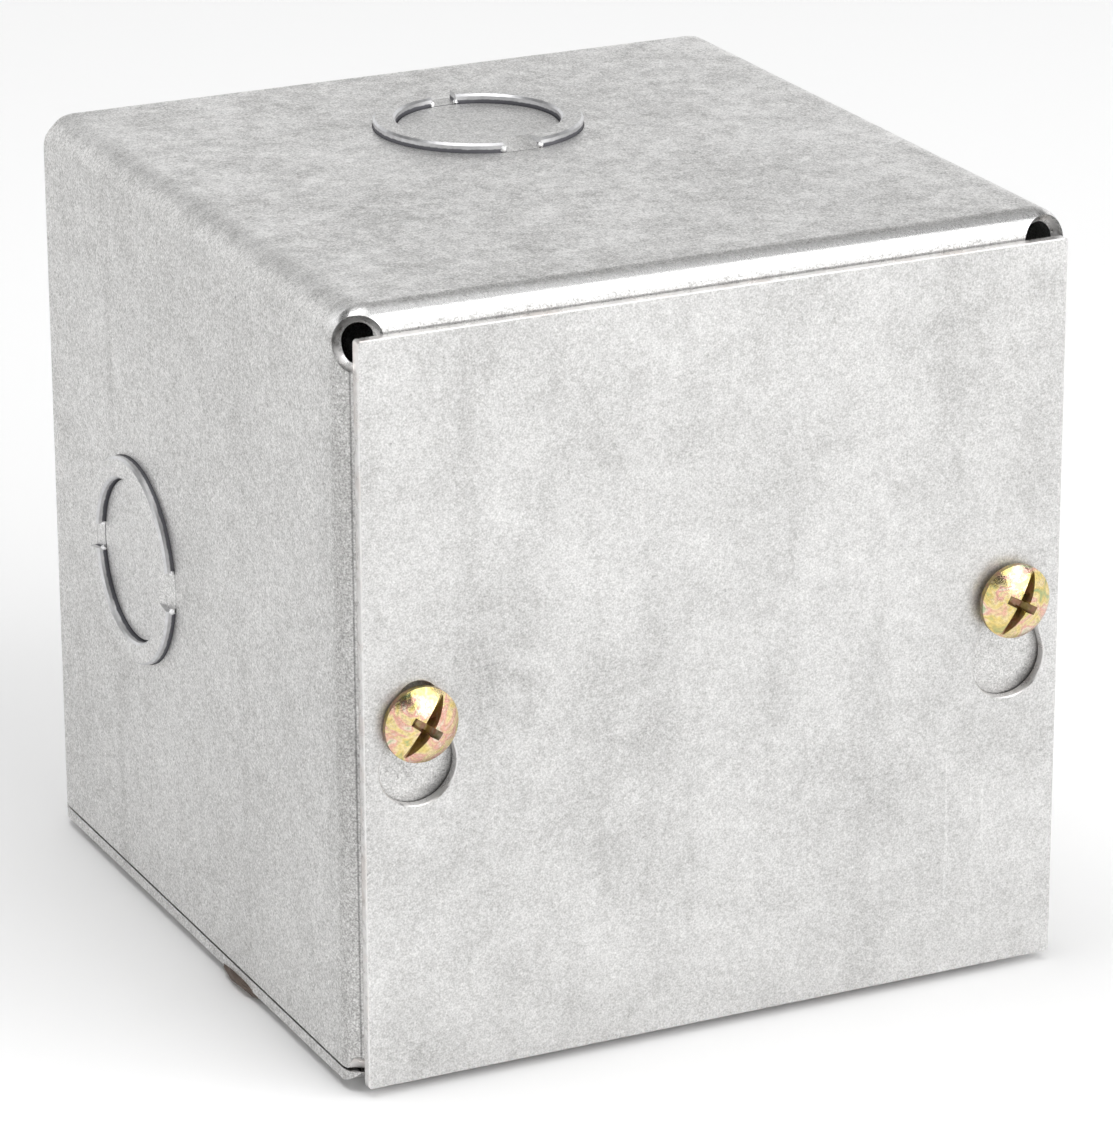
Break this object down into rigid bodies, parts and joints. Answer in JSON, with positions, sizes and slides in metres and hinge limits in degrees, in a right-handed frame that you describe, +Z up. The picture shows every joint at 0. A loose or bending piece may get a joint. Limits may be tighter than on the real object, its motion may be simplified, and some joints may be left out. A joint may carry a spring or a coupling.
{
  "type": "electrical junction box",
  "caption": "Cube-shaped galvanized sheet-steel junction box with a flat screw-on keyhole cover and concentric knockouts in its walls.",
  "frame": {"origin": "centre of the back panel's rear face, on the mounting plane", "axes": "+Y towards the wall that the box is fixed to, +Z up, +X to the right of somebody who faces the cover"},
  "size_m": [0.104, 0.1083, 0.104],
  "materials": {
    "galvanized_wrapper": "satin galvanized, finely dimpled",
    "galvanized_back": "satin galvanized",
    "galvanized_cover": "satin galvanized, cloudy",
    "galvanized_knockout": "satin galvanized with bare sheared edges",
    "yellow_zinc": "bright yellow zinc dichromate"
  },
  "bodies": {
    "box": {"wall_wrapper": "galvanized_wrapper", "back_panel": "galvanized_back"},
    "cover": {"cover": "galvanized_cover"},
    "screw_left": {"cover_screw_left": "yellow_zinc"},
    "screw_right": {"cover_screw_right": "yellow_zinc"},
    "ring_top": {"knockout_ring_top": "galvanized_knockout"},
    "disc_top": {"knockout_disc_top": "galvanized_knockout"},
    "ring_bottom": {"knockout_ring_bottom": "galvanized_knockout"},
    "disc_bottom": {"knockout_disc_bottom": "galvanized_knockout"},
    "ring_left": {"knockout_ring_left": "galvanized_knockout"},
    "disc_left": {"knockout_disc_left": "galvanized_knockout"},
    "ring_right": {"knockout_ring_right": "galvanized_knockout"},
    "disc_right": {"knockout_disc_right": "galvanized_knockout"}
  },
  "joints": [
    {"name": "screws_out", "type": "slide", "parent": "box", "child": "screw_left", "axis": [0, -1, 0], "range_m": [0, 0.06]},
    {"name": "screw_right_out", "type": "slide", "parent": "box", "child": "screw_right", "axis": [0, -1, 0], "range_m": [0, 0.06]},
    {"name": "cover_lift", "type": "slide", "parent": "screw_left", "child": "cover", "axis": [0, 0, 1], "range_m": [0, 0.008]},
    {"name": "ring_top_out", "type": "slide", "parent": "box", "child": "ring_top", "axis": [0, 0, 1], "range_m": [0, 0.008]},
    {"name": "disc_top_in", "type": "slide", "parent": "ring_top", "child": "disc_top", "axis": [0, 0, -1], "range_m": [0, 0.012]},
    {"name": "ring_bottom_out", "type": "slide", "parent": "box", "child": "ring_bottom", "axis": [0, 0, -1], "range_m": [0, 0.008]},
    {"name": "disc_bottom_in", "type": "slide", "parent": "ring_bottom", "child": "disc_bottom", "axis": [0, 0, 1], "range_m": [0, 0.012]},
    {"name": "ring_left_out", "type": "slide", "parent": "box", "child": "ring_left", "axis": [-1, 0, 0], "range_m": [0, 0.008]},
    {"name": "disc_left_in", "type": "slide", "parent": "ring_left", "child": "disc_left", "axis": [1, 0, 0], "range_m": [0, 0.012]},
    {"name": "ring_right_out", "type": "slide", "parent": "box", "child": "ring_right", "axis": [1, 0, 0], "range_m": [0, 0.008]},
    {"name": "disc_right_in", "type": "slide", "parent": "ring_right", "child": "disc_right", "axis": [-1, 0, 0], "range_m": [0, 0.012]}
  ],
  "couplings": [
    {"joint": "screw_right_out", "follows": "screws_out", "ratio": 1}
  ]
}
